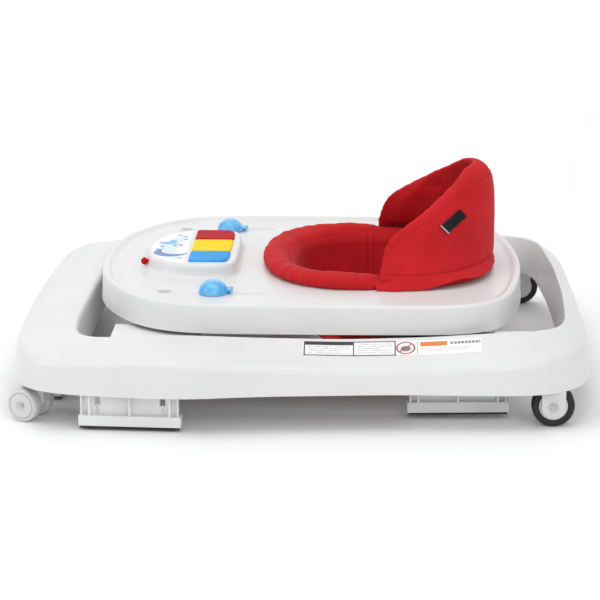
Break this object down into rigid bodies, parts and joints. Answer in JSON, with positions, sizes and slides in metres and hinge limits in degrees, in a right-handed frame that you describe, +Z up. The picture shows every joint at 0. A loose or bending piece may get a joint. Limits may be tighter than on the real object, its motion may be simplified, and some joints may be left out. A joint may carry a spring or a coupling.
{
  "type": "baby walker",
  "caption": "Folding baby walker: ring base on casters and wheels, crossing tube legs, round toy tray with music box and whale knobs, red padded seat with high wrap-round back.",
  "frame": {"origin": "on the floor, under the middle of the whole walker's box in the folded state", "axes": "+X towards the walker's front (the tray's toy end), +Y towards the child's left, +Z up"},
  "size_m": [0.7129, 0.6569, 0.266],
  "materials": {
    "white_plastic": "smooth moulded",
    "white_matte": "moulded",
    "caster_plastic": "moulded",
    "steel": "plated",
    "leg_steel": "powder coat",
    "roller_plastic": "moulded",
    "hub_plastic": "moulded",
    "tyre": "matt",
    "pad_rubber": "matt",
    "key_red": "gloss",
    "key_yellow": "gloss",
    "key_blue": "gloss",
    "button_red": "gloss",
    "picture_card": "printed film",
    "board": "solder mask",
    "speaker_black": "satin",
    "battery_metal": "satin",
    "knob_blue": "translucent gloss",
    "seat_fabric": "woven",
    "sling_fabric": "woven",
    "strap_webbing": "webbing"
  },
  "bodies": {
    "base": {"base_shell": "white_plastic", "leg_bracket_left": "white_matte", "leg_bracket_right": "white_matte", "leg_channel_left": "white_matte", "leg_channel_right": "white_matte", "leg_pivot_pins": "steel", "rear_fork_left": "white_matte", "rear_fork_right": "white_matte", "rear_axles": "steel", "pad_carrier_front": "white_matte", "pad_carrier_front_left": "white_matte", "pad_carrier_front_right": "white_matte", "pad_carrier_rear_left": "white_matte", "pad_carrier_rear_right": "white_matte", "pad_grip_front": "pad_rubber", "pad_grip_front_left": "pad_rubber", "pad_grip_front_right": "pad_rubber", "pad_grip_rear_left": "pad_rubber", "pad_grip_rear_right": "pad_rubber", "base_screws": "steel"},
    "rear_wheel_left": {"rear_hub_left": "hub_plastic", "rear_tyre_left": "tyre"},
    "rear_wheel_right": {"rear_hub_right": "hub_plastic", "rear_tyre_right": "tyre"},
    "caster_left": {"caster_housing_left": "white_matte", "caster_stem_left": "steel", "caster_axle_left": "steel"},
    "caster_right": {"caster_housing_right": "white_matte", "caster_stem_right": "steel", "caster_axle_right": "steel"},
    "caster_left_outer": {"caster_wheel_left_outer": "caster_plastic"},
    "caster_left_inner": {"caster_wheel_left_inner": "caster_plastic"},
    "caster_right_outer": {"caster_wheel_right_outer": "caster_plastic"},
    "caster_right_inner": {"caster_wheel_right_inner": "caster_plastic"},
    "outer_leg": {"outer_leg_tube": "leg_steel", "leg_cross_rivets": "steel"},
    "inner_leg": {"inner_leg_tube": "leg_steel", "leg_rollers": "roller_plastic"},
    "tray": {"tray_shell": "white_plastic", "slot_bracket_left": "white_matte", "slot_bracket_right": "white_matte", "leg_clips": "white_matte", "toy_box_housing": "white_plastic", "toy_box_base": "white_matte", "picture_panel": "picture_card", "circuit_board": "board", "speaker": "speaker_black", "batteries": "battery_metal", "seat_rim_pad": "seat_fabric", "seat_back_pad": "seat_fabric", "strap_tab_left": "strap_webbing", "strap_tab_right": "strap_webbing", "seat_sling": "sling_fabric"},
    "red_key": {"key_red": "key_red"},
    "yellow_key": {"key_yellow": "key_yellow"},
    "blue_key": {"key_blue": "key_blue"},
    "power_button": {"red_button": "button_red"},
    "whale_knob_left": {"whale_left": "knob_blue"},
    "whale_knob_right": {"whale_right": "knob_blue"}
  },
  "joints": [
    {"name": "leg_fold", "type": "hinge", "parent": "base", "child": "outer_leg", "pos_m": [-0.255, 0, 0.081], "axis": [0, -1, 0], "range_deg": [0, 30]},
    {"name": "leg_cross", "type": "hinge", "parent": "outer_leg", "child": "inner_leg", "pos_m": [-0.02069, 0, 0.099], "axis": [0, -1, 0], "range_deg": [-60, 0]},
    {"name": "tray_level", "type": "hinge", "parent": "inner_leg", "child": "tray", "pos_m": [-0.255, 0, 0.117], "axis": [0, -1, 0], "range_deg": [0, 30]},
    {"name": "rear_wheel_left_spin", "type": "hinge", "parent": "base", "child": "rear_wheel_left", "pos_m": [-0.3005, 0.274, 0.0254], "axis": [0, 1, 0], "continuous": true},
    {"name": "caster_left_swivel", "type": "hinge", "parent": "base", "child": "caster_left", "pos_m": [0.308, 0.268, 0.045], "axis": [0, 0, 1], "continuous": true},
    {"name": "caster_left_outer_spin", "type": "hinge", "parent": "caster_left", "child": "caster_left_outer", "pos_m": [0.32089, 0.26253, 0.02], "axis": [0.3907, 0.9205, 0], "continuous": true},
    {"name": "caster_left_inner_spin", "type": "hinge", "parent": "caster_left", "child": "caster_left_inner", "pos_m": [0.32089, 0.26253, 0.02], "axis": [0.3907, 0.9205, 0], "continuous": true},
    {"name": "whale_left_turn", "type": "hinge", "parent": "tray", "child": "whale_knob_left", "pos_m": [0.105, 0.165, 0.13], "axis": [0, 0, 1], "continuous": true},
    {"name": "rear_wheel_right_spin", "type": "hinge", "parent": "base", "child": "rear_wheel_right", "pos_m": [-0.3005, -0.274, 0.0254], "axis": [0, 1, 0], "continuous": true},
    {"name": "caster_right_swivel", "type": "hinge", "parent": "base", "child": "caster_right", "pos_m": [0.308, -0.268, 0.045], "axis": [0, 0, 1], "continuous": true},
    {"name": "caster_right_outer_spin", "type": "hinge", "parent": "caster_right", "child": "caster_right_outer", "pos_m": [0.322, -0.268, 0.02], "axis": [0, 1, 0], "continuous": true},
    {"name": "caster_right_inner_spin", "type": "hinge", "parent": "caster_right", "child": "caster_right_inner", "pos_m": [0.322, -0.268, 0.02], "axis": [0, 1, 0], "continuous": true},
    {"name": "whale_right_turn", "type": "hinge", "parent": "tray", "child": "whale_knob_right", "pos_m": [0.105, -0.165, 0.13], "axis": [0, 0, 1], "continuous": true},
    {"name": "red_key_press", "type": "slide", "parent": "tray", "child": "red_key", "axis": [0, 0, -1], "range_m": [0, 0.0025], "stiffness_N_per_m": 250, "springref_m": -0.0015},
    {"name": "yellow_key_press", "type": "slide", "parent": "tray", "child": "yellow_key", "axis": [0, 0, -1], "range_m": [0, 0.0025], "stiffness_N_per_m": 250, "springref_m": -0.0015},
    {"name": "blue_key_press", "type": "slide", "parent": "tray", "child": "blue_key", "axis": [0, 0, -1], "range_m": [0, 0.0025], "stiffness_N_per_m": 250, "springref_m": -0.0015},
    {"name": "power_button_press", "type": "slide", "parent": "tray", "child": "power_button", "axis": [-0.9563, -0.2924, 0], "range_m": [0, 0.0015], "stiffness_N_per_m": 150, "springref_m": -0.001}
  ],
  "couplings": [
    {"joint": "leg_cross", "follows": "leg_fold", "ratio": -2},
    {"joint": "tray_level", "follows": "leg_fold", "ratio": 1}
  ]
}
